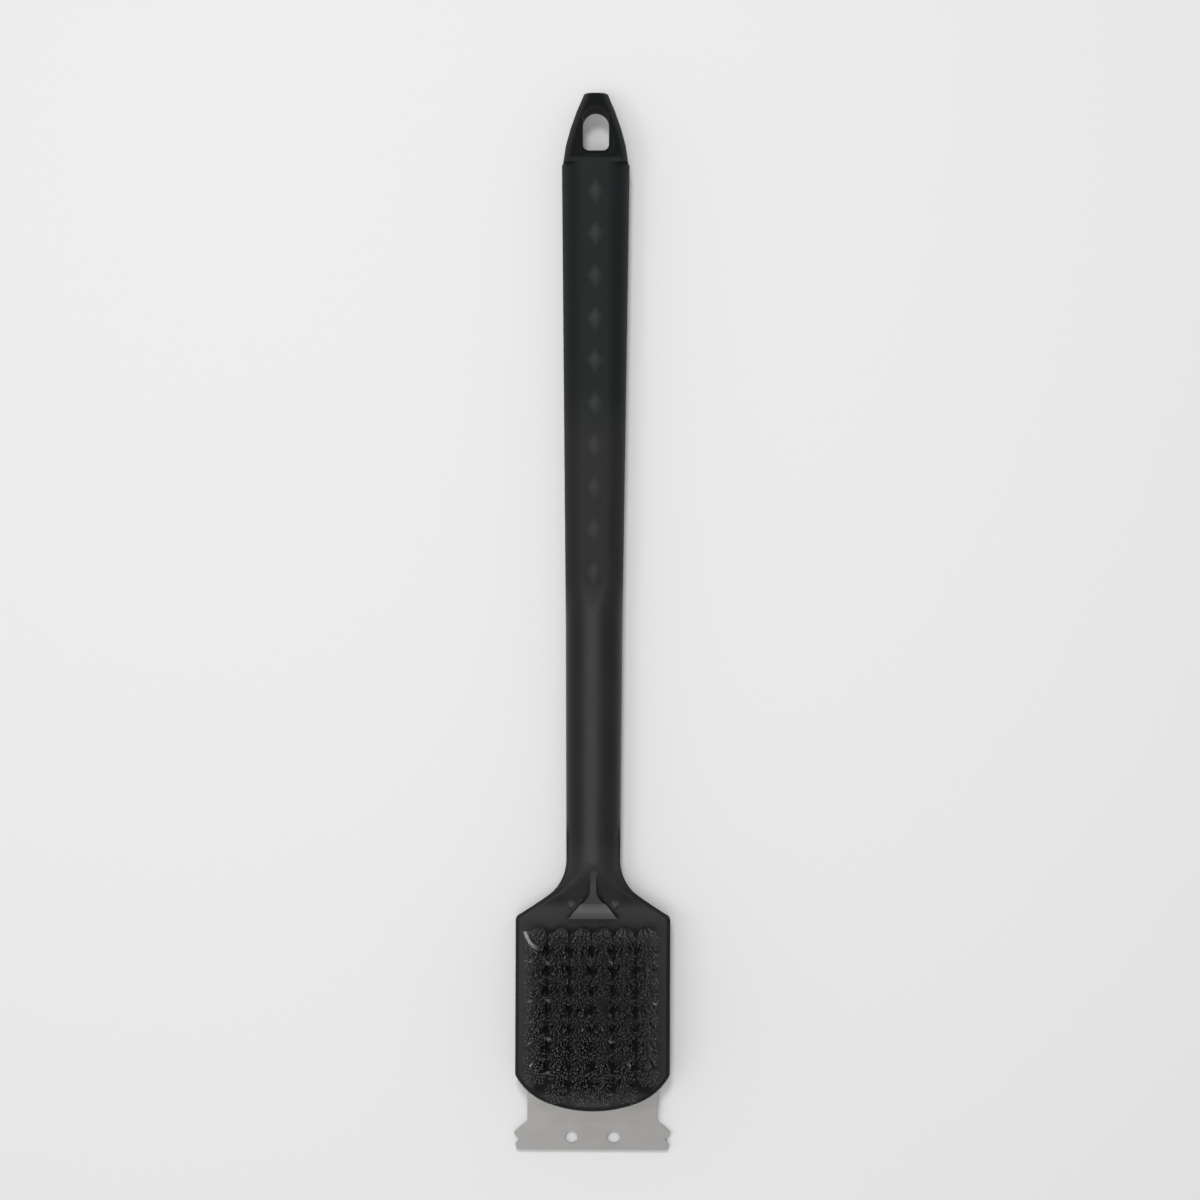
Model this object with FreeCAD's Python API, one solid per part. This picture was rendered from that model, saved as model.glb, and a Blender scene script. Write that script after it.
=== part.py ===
import FreeCAD, Part
import math
import os

# Grill brush, in millimetres.
# It lies on its back: the wires point to +Z, the handle runs to +Y and the scraper to -Y.
# The origin is on the back face of the head, under the middle of the full rows of tufts.

V = FreeCAD.Vector

# Tuft pattern
tuft_columns = 6
tuft_full_rows = 8
tuft_short_row_columns = 4
tuft_pitch_x = 11.1
tuft_pitch_y = 10.3
tuft_hole_radius = 2.5
tuft_hole_depth = 12.0
tuft_wire_length = 27.0
tuft_tip_gap = 0.5
tuft_hole_clearance = 0.05
tuft_waist_share = 0.5
tuft_waist_spread = 0.36

# Flat wire that pins each tuft down in its hole
anchor_thickness = 0.5
anchor_height = 1.8
anchor_wall_gap = 0.05
anchor_fold_depth = 1.3
anchor_clearance = 0.03

# Head of the moulding
head_thickness = 20.0
head_side_margin = 13.5
head_neck_margin = 7.5
head_tip_margin = 14.0
head_tip_rise = 19.4
head_tip_radius = 68.0
head_tip_half_angle = 20.8
head_shoulder_corner_radius = 4.0
head_tip_corner_radius = 3.0
head_edge_radius = 2.4

# Shoulder between the head and the handle
shoulder_slope = 33.6
shoulder_fillet_radius = 24.0
shoulder_straight_share = 0.55
shoulder_steps = 6

# Handle: half widths, undersides and crests of its sections
neck_half_width = 14.4
neck_crest = 26.0
shaft_length = 130.0
shaft_half_width = 15.2
shaft_crest = 26.8
grip_start_length = 16.0
grip_start_half_width = 15.4
grip_start_crest = 27.2
grip_length = 224.0
grip_half_width = 18.1
grip_crest = 29.5
shaft_flat = 1.0
grip_flat = 5.4
side_flat = 1.0

# Tapered end of the handle, with the hanging slot
nose_step = 0.8
nose_length = 37.5
nose_end_half_width = 6.5
nose_end_thickness = 16.0
nose_taper_power = 1.5
nose_bevel_width = 4.5
nose_bevel_height = 6.0
nose_steps = 4
slot_width = 14.0
slot_length = 24.0
slot_end_wall = 7.5
slot_corner_radius = 3.5
slot_recess_margin = 2.4
slot_recess_depth = 1.0

# Diamond studs on the grip
stud_count = 10
stud_pitch = 22.45
stud_width = 10.4
stud_length = 16.0
stud_brow_share = 0.62
stud_brow_height = 0.8
stud_top_share = 0.16
stud_height = 1.05
stud_root = 0.4
stud_end_distance = 15.4

# Ridge and ramp where the neck runs out on the head
ridge_half_width = 1.5
ridge_drop = 0.9
ridge_flare_length = 6.7
ridge_flare_sag = 1.0
ramp_length = 7.2
ramp_height = 4.4
ramp_lip_height = 6.6
ramp_top_half_width = 7.0
ramp_foot_half_width = 12.8
ramp_root = 5.0
ramp_groove_width = 1.6
ramp_groove_depth = 1.4
ramp_groove_lead = 3.0
ramp_groove_length = 14.0
ramp_pad_gap = 0.3
ramp_pad_place = 3.2
ramp_pad_length = 5.0
ramp_pad_width = 2.4
ramp_pad_top_share = 0.5
ramp_pad_height = 0.9
ramp_pad_root = 0.4

# Scraper plate, measured up from its scraping edge
scraper_thickness = 1.2
scraper_reach = 23.8
scraper_half_width = 35.1
scraper_tab_cover = 28.0
scraper_flare_height = 15.4
scraper_ear_height = 9.0
scraper_ear_reach = 7.6
scraper_notch_height = 5.8
scraper_notch_reach = 3.9
scraper_lobe_height = 3.4
scraper_lobe_reach = 6.3
scraper_corner_reach = 5.7
scraper_ear_radius = 1.0
scraper_hole_radius = 3.5
scraper_hole_spacing = 22.8
scraper_hole_height = 6.9
scraper_clearance = 0.3

# Screws that hold the plate in its recess
screw_shank_radius = 1.75
screw_length = 10.0
screw_head_radius = 3.6
screw_head_height = 1.9
screw_head_chamfer = 0.8
screw_back_clearance = 0.5
screw_hole_clearance = 0.3
screw_pilot_clearance = 0.03
screw_column_gap = 2

# Derived places
field_half_width = tuft_pitch_x * (tuft_columns - 1) / 2
field_half_length = tuft_pitch_y * (tuft_full_rows - 1) / 2
short_row_y = -field_half_length - tuft_pitch_y
head_half_width = field_half_width + head_side_margin
head_tip_y = short_row_y - head_tip_margin
head_side_end_y = head_tip_y + head_tip_rise
corner_y = field_half_length + head_neck_margin
slope = math.radians(shoulder_slope)
turn = math.pi / 2 - slope
arc_end_half_width = neck_half_width + shoulder_fillet_radius * (1 - math.cos(turn))
arc_end_y = corner_y + (head_half_width - arc_end_half_width) * math.tan(slope)
shoulder_start_y = arc_end_y + shoulder_fillet_radius * math.sin(turn)
join_half_width = arc_end_half_width + (head_half_width - arc_end_half_width) * shoulder_straight_share
join_y = arc_end_y - (join_half_width - arc_end_half_width) * math.tan(slope)
shaft_y = shoulder_start_y + shaft_length
grip_start_y = shaft_y + grip_start_length
grip_end_y = grip_start_y + grip_length
handle_end_y = grip_end_y + nose_length
slot_top_y = handle_end_y - slot_end_wall
slot_bottom_y = slot_top_y - slot_length
octagon_half_step = math.pi / 8
hole_flat = tuft_hole_radius * math.cos(octagon_half_step)
hole_bottom_z = head_thickness - tuft_hole_depth
anchor_z = hole_bottom_z + anchor_fold_depth
tip_z = head_thickness + tuft_wire_length
ramp_foot_y = corner_y
ramp_top_y = ramp_foot_y + ramp_length
ridge_end_y = ramp_top_y + ridge_flare_length
recess_depth = screw_back_clearance + screw_head_height + scraper_thickness
scraper_edge_y = head_tip_y - scraper_reach
scraper_tab_y = head_tip_y + scraper_tab_cover
screw_x = screw_column_gap * tuft_pitch_x
screw_y = short_row_y + tuft_pitch_y / 2


def quarter_ellipse(start, corner, end):
    """Poles of an exact quarter ellipse: its middle pole has the weight below."""
    return [start, corner, end]


def section(y, half_width, bottom, top, corner_x, corner_z):
    """Outline across the body as eight strips: four flats joined by quarter ellipses."""
    w = half_width
    right_top = quarter_ellipse(V(w - corner_x, y, top), V(w, y, top), V(w, y, top - corner_z))
    right_bottom = quarter_ellipse(V(w, y, bottom + corner_z), V(w, y, bottom), V(w - corner_x, y, bottom))
    left_bottom = quarter_ellipse(V(-w + corner_x, y, bottom), V(-w, y, bottom), V(-w, y, bottom + corner_z))
    left_top = quarter_ellipse(V(-w, y, top - corner_z), V(-w, y, top), V(-w + corner_x, y, top))
    return [
        [left_top[-1], right_top[0]], right_top, [right_top[-1], right_bottom[0]], right_bottom,
        [right_bottom[-1], left_bottom[0]], left_bottom, [left_bottom[-1], left_top[0]], left_top,
    ]


def pole_weights(count):
    """A flat has two plain poles, a quarter ellipse three with a light one in the middle."""
    return [1, 1] if count == 2 else [1, math.sqrt(0.5), 1]


def strip_face(rows, knots, multiplicities, along_degree):
    """Face over rows of poles: across the strip from row to row, along y within a row."""
    degree = len(rows) - 1
    weights = [[weight] * len(rows[0]) for weight in pole_weights(len(rows))]
    surface = Part.BSplineSurface()
    surface.buildFromPolesMultsKnots(
        rows, [degree + 1, degree + 1], multiplicities, [0, 1], knots, False, False, degree, along_degree,
        weights,
    )
    return surface.toShape()


def outline_edge(poles):
    curve = Part.BezierCurve()
    curve.setPoles(poles)
    for i, weight in enumerate(pole_weights(len(poles))):
        curve.setWeight(i + 1, weight)
    return curve.toShape()


def capped(faces, sections):
    """Solid from the side faces and a flat cap at the first and the last section."""
    for strips in (sections[0], sections[-1]):
        faces.append(Part.Face(Part.Wire([outline_edge(poles) for poles in strips])))
    shell = Part.Shell(faces)
    shell.sewShape()
    return Part.Solid(shell)


def straight_skin(sections):
    """Solid through sections in order of rising y, straight between them."""
    faces = []
    for low, high in zip(sections, sections[1:]):
        for low_strip, high_strip in zip(low, high):
            rows = [list(pair) for pair in zip(low_strip, high_strip)]
            faces.append(strip_face(rows, [low_strip[0].y, high_strip[0].y], [2, 2], 1))
    return capped(faces, sections)


def curved_skin(sections, start_spread, end_spread):
    """Solid through sections in order of rising y, curved along y.

    The spreads say how fast the half width grows with y at the first and the last section.
    """
    stations = [strips[0][0].y for strips in sections]
    faces = []
    for i in range(len(sections[0])):
        curves = []
        for j in range(len(sections[0][i])):
            points = [strips[i][j] for strips in sections]
            side = math.copysign(1, points[0].x)
            curve = Part.BSplineCurve()
            curve.interpolate(
                Points=points, Parameters=stations, InitialTangent=V(start_spread * side, 1, 0),
                FinalTangent=V(end_spread * side, 1, 0), Scale=False,
            )
            curves.append(curve)
        rows = [curve.getPoles() for curve in curves]
        faces.append(strip_face(rows, curves[0].getKnots(), curves[0].getMultiplicities(), curves[0].Degree))
    return capped(faces, sections)


def handle_section(y, half_width, crest, flat):
    return section(y, half_width, 0, crest, half_width - flat, (crest - side_flat) / 2)


def ease(t):
    return t * t * (3 - 2 * t)


def between(a, b, t):
    return a + (b - a) * t


def shoulder():
    """From the flat head to the round neck, on the straight slope and then on the concave arc."""
    sections = []
    for i in range(shoulder_steps + 1):
        t = i / shoulder_steps
        y = between(join_y, shoulder_start_y, t)
        if y > arc_end_y:
            reach = math.sqrt(shoulder_fillet_radius ** 2 - (shoulder_start_y - y) ** 2)
            w = neck_half_width + shoulder_fillet_radius - reach
        else:
            w = arc_end_half_width + (arc_end_y - y) / math.tan(slope)
        e = ease(t)
        top = between(head_thickness, neck_crest, e)
        corner_x = between(head_edge_radius / math.sin(slope), neck_half_width - shaft_flat, e)
        corner_z = between(head_edge_radius, (neck_crest - side_flat) / 2, e)
        sections.append(section(y, w, 0, top, corner_x, corner_z))
    return curved_skin(sections, -1 / math.tan(slope), 0)


def handle():
    sections = [
        handle_section(shoulder_start_y, neck_half_width, neck_crest, shaft_flat),
        handle_section(shaft_y, shaft_half_width, shaft_crest, shaft_flat),
        handle_section(grip_start_y, grip_start_half_width, grip_start_crest, grip_flat),
        handle_section(grip_end_y, grip_half_width, grip_crest, grip_flat),
    ]
    return straight_skin(sections)


def nose():
    """Tapered end of the handle, a small step inside the grip."""
    start_half_width = grip_half_width - nose_step
    start_thickness = grip_crest - 2 * nose_step
    sections = []
    for i in range(nose_steps + 1):
        t = i / nose_steps
        w = between(start_half_width, nose_end_half_width, t ** nose_taper_power)
        thickness = between(start_thickness, nose_end_thickness, t ** nose_taper_power)
        y = between(grip_end_y, handle_end_y, t)
        bottom = (grip_crest - thickness) / 2
        sections.append(section(y, w, bottom, bottom + thickness, nose_bevel_width, nose_bevel_height))
    return straight_skin(sections)


def head_block():
    centre_angle = math.radians(head_tip_half_angle)
    tip_arc_x = head_tip_radius * math.sin(centre_angle)
    tip_arc_y = head_tip_y + head_tip_radius * (1 - math.cos(centre_angle))
    chord = V(head_half_width - tip_arc_x, head_side_end_y - tip_arc_y, 0)
    chord_angle = math.atan2(chord.y, chord.x)
    half_turn = chord_angle - centre_angle
    sagitta = chord.Length / 2 * math.tan(half_turn / 2)
    bulge = V(math.sin(chord_angle), -math.cos(chord_angle), 0) * sagitta
    middle = V(tip_arc_x, tip_arc_y, 0) + chord / 2 + bulge
    left = [
        V(-join_half_width, join_y, 0), V(-head_half_width, corner_y, 0),
        V(-head_half_width, head_side_end_y, 0), V(-tip_arc_x, tip_arc_y, 0),
    ]
    right = [V(-p.x, p.y, 0) for p in left]
    edges = [
        Part.makeLine(left[0], left[1]),
        Part.makeLine(left[1], left[2]),
        Part.Arc(left[2], V(-middle.x, middle.y, 0), left[3]).toShape(),
        Part.Arc(left[3], V(0, head_tip_y, 0), right[3]).toShape(),
        Part.Arc(right[3], middle, right[2]).toShape(),
        Part.makeLine(right[2], right[1]),
        Part.makeLine(right[1], right[0]),
        Part.makeLine(right[0], left[0]),
    ]
    block = Part.Face(Part.Wire(edges)).extrude(V(0, 0, head_thickness))
    for radius, y in ((head_shoulder_corner_radius, corner_y), (head_tip_corner_radius, head_side_end_y)):
        corners = [e for e in block.Edges if is_upright_at(e, y)]
        block = block.makeFillet(radius, corners)
    rim = [e for e in block.Edges if is_level(e) and e.BoundBox.YMin < join_y - 0.001]
    return block.makeFillet(head_edge_radius, rim)


def is_upright_at(edge, y):
    box = edge.BoundBox
    return box.ZLength > head_thickness / 2 and abs(box.YMin - y) < 0.01 and abs(box.YMax - y) < 0.01


def is_level(edge):
    return edge.BoundBox.ZLength < 0.01


def tuft_places():
    """Name and axis of every tuft: full rows first, then the short row at the tip."""
    places = []
    for row in range(tuft_full_rows + 1):
        columns = tuft_columns if row < tuft_full_rows else tuft_short_row_columns
        y = field_half_length - row * tuft_pitch_y
        for column in range(columns):
            x = (column - (columns - 1) / 2) * tuft_pitch_x
            places.append((f"tuft_row{row + 1}_col{column + 1}", x, y))
    return places


def box(x_low, x_high, y_low, y_high, z_low, z_high):
    return Part.makeBox(x_high - x_low, y_high - y_low, z_high - z_low, V(x_low, y_low, z_low))


def polygon_face(points):
    return Part.Face(Part.makePolygon(points + points[:1]))


def polygon_prism(points, lift):
    return polygon_face(points).extrude(lift)


def stacked_rings(rings):
    """Flat-sided solid through rings of as many points each."""
    faces = [polygon_face(rings[0]), polygon_face(rings[-1])]
    for lower, upper in zip(rings, rings[1:]):
        for i in range(len(lower)):
            faces.append(polygon_face([lower[i - 1], lower[i], upper[i], upper[i - 1]]))
    shell = Part.Shell(faces)
    shell.sewShape()
    return Part.Solid(shell)


def slot_outline(margin, z):
    """Square lower end with small corners, round upper end."""
    w = slot_width / 2 + margin
    r = slot_corner_radius + margin
    low = slot_bottom_y - margin
    centre_y = slot_top_y - slot_width / 2
    bend = r * (1 - math.sqrt(0.5))
    edges = [
        Part.makeLine(V(-w + r, low, z), V(w - r, low, z)),
        Part.Arc(V(w - r, low, z), V(w - bend, low + bend, z), V(w, low + r, z)).toShape(),
        Part.makeLine(V(w, low + r, z), V(w, centre_y, z)),
        Part.Arc(V(w, centre_y, z), V(0, centre_y + w, z), V(-w, centre_y, z)).toShape(),
        Part.makeLine(V(-w, centre_y, z), V(-w, low + r, z)),
        Part.Arc(V(-w, low + r, z), V(-w + bend, low + bend, z), V(-w + r, low, z)).toShape(),
    ]
    return Part.Face(Part.Wire(edges))


def crest_at(solid, y):
    return Part.makeLine(V(0, y, 0), V(0, y, 2 * grip_crest)).common(solid).BoundBox.ZMax


def stud(y, crest):
    """Low four-sided mound with a small flat top and its root in the grip."""
    root_share = 1 + (1 - stud_brow_share) * stud_root / stud_brow_height
    rings = []
    levels = ((root_share, -stud_root), (stud_brow_share, stud_brow_height), (stud_top_share, stud_height))
    for share, rise in levels:
        z = crest + rise
        half_x = stud_width / 2 * share
        half_y = stud_length / 2 * share
        rings.append([V(half_x, y, z), V(0, y + half_y, z), V(-half_x, y, z), V(0, y - half_y, z)])
    return stacked_rings(rings)


def ramp():
    """Ridge down the middle of the shoulder that flares into a ramp with a lip over the head's face."""
    ridge_z = neck_crest - ridge_drop
    root_z = head_thickness - ramp_root
    reach = head_half_width
    side_view = [
        V(-reach, shoulder_start_y, root_z), V(-reach, shoulder_start_y, ridge_z),
        V(-reach, ridge_end_y, ridge_z), V(-reach, ramp_top_y, head_thickness + ramp_height),
        V(-reach, ramp_foot_y, head_thickness + ramp_lip_height), V(-reach, ramp_foot_y, root_z),
    ]
    profile = polygon_prism(side_view, V(2 * reach, 0, 0))
    start = V(ridge_half_width, ridge_end_y, 0)
    end = V(ramp_top_half_width, ramp_top_y, 0)
    chord = end - start
    inward = V(chord.y, -chord.x, 0).normalize()
    middle = (start + end) / 2 + inward * ridge_flare_sag
    right = [V(ridge_half_width, shoulder_start_y, 0), start, end, V(ramp_foot_half_width, ramp_foot_y, 0)]
    left = [V(-p.x, p.y, 0) for p in right]
    edges = [
        Part.makeLine(right[0], right[1]),
        Part.Arc(right[1], middle, right[2]).toShape(),
        Part.makeLine(right[2], right[3]),
        Part.makeLine(right[3], left[3]),
        Part.makeLine(left[3], left[2]),
        Part.Arc(left[2], V(-middle.x, middle.y, 0), left[1]).toShape(),
        Part.makeLine(left[1], left[0]),
        Part.makeLine(left[0], right[0]),
    ]
    plan = Part.Face(Part.Wire(edges)).extrude(V(0, 0, 2 * neck_crest))
    return profile.common(plan)


def ramp_side(side, along, out):
    """A point beside the ramp's slanting edge, so far along it and out from it."""
    run = V(ramp_foot_half_width - ramp_top_half_width, -ramp_length, 0).normalize()
    outward = V(-run.y, run.x, 0)
    p = V(ramp_top_half_width, ramp_top_y, 0) + run * along + outward * out
    return V(side * p.x, p.y, 0)


def ramp_groove(side):
    """Groove along a slanting edge of the ramp, and a little past both its ends."""
    end = ramp_groove_length - ramp_groove_lead
    corners = [
        (-ramp_groove_lead, 0), (end, 0), (end, ramp_groove_width), (-ramp_groove_lead, ramp_groove_width),
    ]
    base = V(0, 0, head_thickness - ramp_groove_depth)
    points = [ramp_side(side, along, out) + base for along, out in corners]
    return polygon_prism(points, V(0, 0, neck_crest - head_thickness))


def ramp_pad(side):
    """Small raised pad on the outer side of a groove."""
    middle = ramp_groove_width + ramp_pad_gap + ramp_pad_width / 2
    rings = []
    root_share = 1 + (1 - ramp_pad_top_share) * ramp_pad_root / ramp_pad_height
    for share, rise in ((root_share, -ramp_pad_root), (ramp_pad_top_share, ramp_pad_height)):
        half_length = ramp_pad_length / 2 * share
        half_width = ramp_pad_width / 2 * share
        base = V(0, 0, head_thickness + rise)
        corners = ((-half_length, -half_width), (half_length, -half_width), (half_length, half_width),
                   (-half_length, half_width))
        rings.append([ramp_side(side, ramp_pad_place + u, middle + v) + base for u, v in corners])
    return stacked_rings(rings)


def moulded_body():
    grip = handle()
    added = [shoulder(), grip, nose(), ramp(), ramp_pad(-1), ramp_pad(1)]
    for i in range(stud_count):
        y = grip_end_y - stud_end_distance - i * stud_pitch
        added.append(stud(y, crest_at(grip, y)))
    body = head_block().multiFuse(added)
    recess_floor = crest_at(nose(), slot_bottom_y - slot_recess_margin) - slot_recess_depth
    removed = [
        slot_outline(0, -1).extrude(V(0, 0, 2 * grip_crest)),
        slot_outline(slot_recess_margin, recess_floor).extrude(V(0, 0, grip_crest)),
        box(
            -scraper_half_width - scraper_clearance, scraper_half_width + scraper_clearance,
            scraper_edge_y, scraper_tab_y + scraper_clearance, -1, recess_depth,
        ),
    ]
    removed = removed + [ramp_groove(-1), ramp_groove(1)]
    for side in (-1, 1):
        radius = screw_shank_radius + screw_pilot_clearance
        depth = screw_length - scraper_thickness + screw_hole_clearance
        removed.append(Part.makeCylinder(radius, depth, V(side * screw_x, screw_y, recess_depth)))
    for name, x, y in tuft_places():
        removed.append(polygon_prism(octagon(x, y, hole_bottom_z, hole_flat), V(0, 0, tuft_hole_depth)))
    return body.cut(removed).removeSplitter()


def anchor(x, y, margin):
    """Flat wire across a tuft's fold, from wall to wall of its hole; with a margin, its seat in the fold."""
    reach = hole_flat - anchor_wall_gap + margin
    half_thickness = anchor_thickness / 2 + margin
    low = anchor_z - margin
    high = anchor_z + anchor_height + margin
    return box(x - reach, x + reach, y - half_thickness, y + half_thickness, low, high)


def octagon(x, y, z, flat):
    """Eight-sided ring with its flats at one distance from the axis."""
    points = []
    reach = flat / math.cos(octagon_half_step)
    for i in range(8):
        angle = octagon_half_step * (1 + 2 * i)
        points.append(V(x + reach * math.cos(angle), y + reach * math.sin(angle), z))
    return points


def tuft(x, y):
    """Bundle of wires: straight in its hole, spread above the face until it meets its neighbours."""
    stem = hole_flat - tuft_hole_clearance
    tip = (min(tuft_pitch_x, tuft_pitch_y) - tuft_tip_gap) / 2
    waist_z = between(head_thickness, tip_z, tuft_waist_share)
    waist = between(stem, tip, tuft_waist_spread)
    bundle = stacked_rings([
        octagon(x, y, hole_bottom_z + tuft_hole_clearance, stem),
        octagon(x, y, head_thickness, stem),
        octagon(x, y, waist_z, waist),
        octagon(x, y, tip_z, tip),
    ])
    return bundle.cut(anchor(x, y, anchor_clearance))


def scraper_blade():
    w = scraper_half_width
    half = [
        V(w, scraper_tab_y, 0),
        V(w, scraper_edge_y + scraper_flare_height, 0),
        V(w + scraper_ear_reach, scraper_edge_y + scraper_ear_height, 0),
        V(w + scraper_notch_reach, scraper_edge_y + scraper_notch_height, 0),
        V(w + scraper_lobe_reach, scraper_edge_y + scraper_lobe_height, 0),
        V(w + scraper_corner_reach, scraper_edge_y, 0),
    ]
    points = half + [V(-p.x, p.y, 0) for p in reversed(half)]
    base = V(0, 0, recess_depth - scraper_thickness)
    plate = polygon_prism([p + base for p in points], V(0, 0, scraper_thickness))
    upright = [e for e in plate.Edges if e.BoundBox.ZLength > scraper_thickness / 2]
    tips = [e for e in upright if abs(e.BoundBox.Center.x) > w + scraper_notch_reach + 0.1]
    plate = plate.makeFillet(scraper_ear_radius, tips)
    holes = []
    for side in (-1, 1):
        place = V(side * scraper_hole_spacing / 2, scraper_edge_y + scraper_hole_height, 0)
        holes.append(Part.makeCylinder(scraper_hole_radius, 2 * recess_depth, place))
        place = V(side * screw_x, screw_y, 0)
        screw_hole_radius = screw_shank_radius + screw_hole_clearance
        holes.append(Part.makeCylinder(screw_hole_radius, 2 * recess_depth, place))
    return plate.cut(holes)


def screw(x):
    """Pan head screw, head towards the back."""
    head = Part.makeCylinder(screw_head_radius, screw_head_height, V(x, screw_y, screw_back_clearance))
    rim = [e for e in head.Edges if e.BoundBox.ZMax < screw_back_clearance + 0.01]
    head = head.makeChamfer(screw_head_chamfer, rim)
    seat = V(x, screw_y, recess_depth - scraper_thickness)
    shank = Part.makeCylinder(screw_shank_radius, screw_length, seat)
    return head.fuse(shank)


def parts():
    nodes = {"moulded_body": moulded_body(), "scraper_blade": scraper_blade()}
    for name, x, y in tuft_places():
        nodes[name] = tuft(x, y)
    nodes["tuft_anchors"] = Part.makeCompound([anchor(x, y, 0) for name, x, y in tuft_places()])
    nodes["scraper_screw_left"] = screw(-screw_x)
    nodes["scraper_screw_right"] = screw(screw_x)
    return nodes


os.makedirs("parts", exist_ok=True)
for name, shape in parts().items():
    shape.exportStep(f"parts/{name}.step")
    if not name.startswith("tuft_row"):
        print(name, shape.isValid(), round(shape.Volume, 1), len(shape.Solids), len(shape.Faces))
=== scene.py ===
import math

import bmesh
import bpy
from mathutils import Matrix, Vector


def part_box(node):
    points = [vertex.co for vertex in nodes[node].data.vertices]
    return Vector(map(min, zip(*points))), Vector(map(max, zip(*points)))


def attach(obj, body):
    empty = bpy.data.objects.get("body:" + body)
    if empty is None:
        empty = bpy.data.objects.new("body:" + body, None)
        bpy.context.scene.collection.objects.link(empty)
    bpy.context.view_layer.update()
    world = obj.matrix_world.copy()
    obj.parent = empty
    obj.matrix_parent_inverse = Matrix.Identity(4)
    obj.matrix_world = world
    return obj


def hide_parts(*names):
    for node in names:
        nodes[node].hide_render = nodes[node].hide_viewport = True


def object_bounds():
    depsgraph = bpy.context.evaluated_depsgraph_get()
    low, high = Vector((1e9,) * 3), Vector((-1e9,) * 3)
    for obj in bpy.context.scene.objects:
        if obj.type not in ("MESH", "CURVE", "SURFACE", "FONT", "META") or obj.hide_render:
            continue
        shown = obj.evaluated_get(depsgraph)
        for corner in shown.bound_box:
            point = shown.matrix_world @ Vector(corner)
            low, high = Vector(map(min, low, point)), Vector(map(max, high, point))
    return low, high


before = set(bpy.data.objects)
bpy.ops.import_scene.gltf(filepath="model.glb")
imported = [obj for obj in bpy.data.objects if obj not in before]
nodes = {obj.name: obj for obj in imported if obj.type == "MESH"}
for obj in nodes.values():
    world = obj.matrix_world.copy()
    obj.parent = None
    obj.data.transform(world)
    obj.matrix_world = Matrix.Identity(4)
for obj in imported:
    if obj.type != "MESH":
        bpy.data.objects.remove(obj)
cad_low, cad_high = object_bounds()

# Grill brush, in metres. It lies on its back: wires up, handle to +Y, scraper to -Y.

# Wires
TUFT_ROWS = 9
WIRES_PER_TUFT = 70
WIRE_DIAMETER = 0.00036
WIRE_POINTS = 26
WIRE_SIDES = 4
WIRES_STAND_PROUD = 0.027
TIP_HEIGHT = cad_high.z
HEAD_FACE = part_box("tuft_row1_col1")[1].z - WIRES_STAND_PROUD
HOLE_RADIUS = 0.0025
HOLE_CLEARANCE = 0.00025
FOLD_HEIGHT = 0.0006
FAN_START_DEPTH = 0.001
FAN_POWER = 1.15
FAN_SQUARENESS = 0.20
FAN_WIDTH = 0.0056
FAN_DEPTH = 0.0052
FIRST_LEANING_ROW = 5
LEAN_AT_HANDLE = -0.0018
LEAN_AT_TIP = 0.0010
LEAN_SIDEWAYS = -0.0007
SIDE_SPLAY = 0.0018
CRIMP_PITCH = 0.0068
CRIMP_DEPTH = 0.00034
TIP_UNEVENNESS = 0.0011


# Node trees

def place_node(tree, kind, inputs=None, **settings):
    node = tree.nodes.new(kind)
    for name, value in settings.items():
        setattr(node, name, value)
    for key, value in (inputs or {}).items():
        socket = node.inputs[key]
        if isinstance(value, bpy.types.NodeSocket):
            tree.links.new(value, socket)
        else:
            socket.default_value = value
    return node


def calc(tree, operation, *values):
    node = place_node(tree, "ShaderNodeMath", dict(enumerate(values)), operation=operation)
    return node.outputs[0]


def vector_calc(tree, operation, *values):
    node = place_node(tree, "ShaderNodeVectorMath", dict(enumerate(values)), operation=operation)
    return node.outputs["Value" if operation in ("DOT_PRODUCT", "LENGTH") else "Vector"]


def spread_range(tree, value, low, high, new_low, new_high):
    inputs = {"Value": value, "From Min": low, "From Max": high, "To Min": new_low, "To Max": new_high}
    node = place_node(tree, "ShaderNodeMapRange", inputs, clamp=True)
    return node.outputs["Result"]


# Effects shared by the finishes

def effect_group(name, inputs, outputs):
    group = bpy.data.node_groups.new(name, "ShaderNodeTree")
    for label, kind, value in inputs:
        socket = group.interface.new_socket(label, in_out="INPUT", socket_type=kind)
        if value is not None:
            socket.default_value = value
    for label, kind in outputs:
        group.interface.new_socket(label, in_out="OUTPUT", socket_type=kind)
    start = group.nodes.new("NodeGroupInput")
    end = group.nodes.new("NodeGroupOutput")
    return group, start, end


def make_grain_effect():
    """Fine grain of a surface, with slow patches of more and less gloss."""
    group, start, end = effect_group(
        "surface grain",
        [
            ("Place", "NodeSocketVector", None),
            ("Grain Scale", "NodeSocketFloat", 2600.0),
            ("Patch Scale", "NodeSocketFloat", 38.0),
        ],
        [("Height", "NodeSocketFloat"), ("Patch", "NodeSocketFloat")],
    )
    fine = place_node(group, "ShaderNodeTexNoise", {
        "Vector": start.outputs["Place"],
        "Scale": start.outputs["Grain Scale"],
        "Detail": 2.0,
        "Roughness": 0.6,
    })
    pits = place_node(group, "ShaderNodeTexVoronoi", {
        "Vector": start.outputs["Place"],
        "Scale": calc(group, "MULTIPLY", start.outputs["Grain Scale"], 0.55),
    })
    patch = place_node(group, "ShaderNodeTexNoise", {
        "Vector": start.outputs["Place"],
        "Scale": start.outputs["Patch Scale"],
        "Detail": 3.0,
    })
    pit_depth = calc(group, "MULTIPLY", pits.outputs["Distance"], 0.45)
    height = calc(group, "ADD", calc(group, "MULTIPLY", fine.outputs["Fac"], 0.7), pit_depth)
    group.links.new(height, end.inputs["Height"])
    group.links.new(patch.outputs["Fac"], end.inputs["Patch"])
    return group


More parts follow.
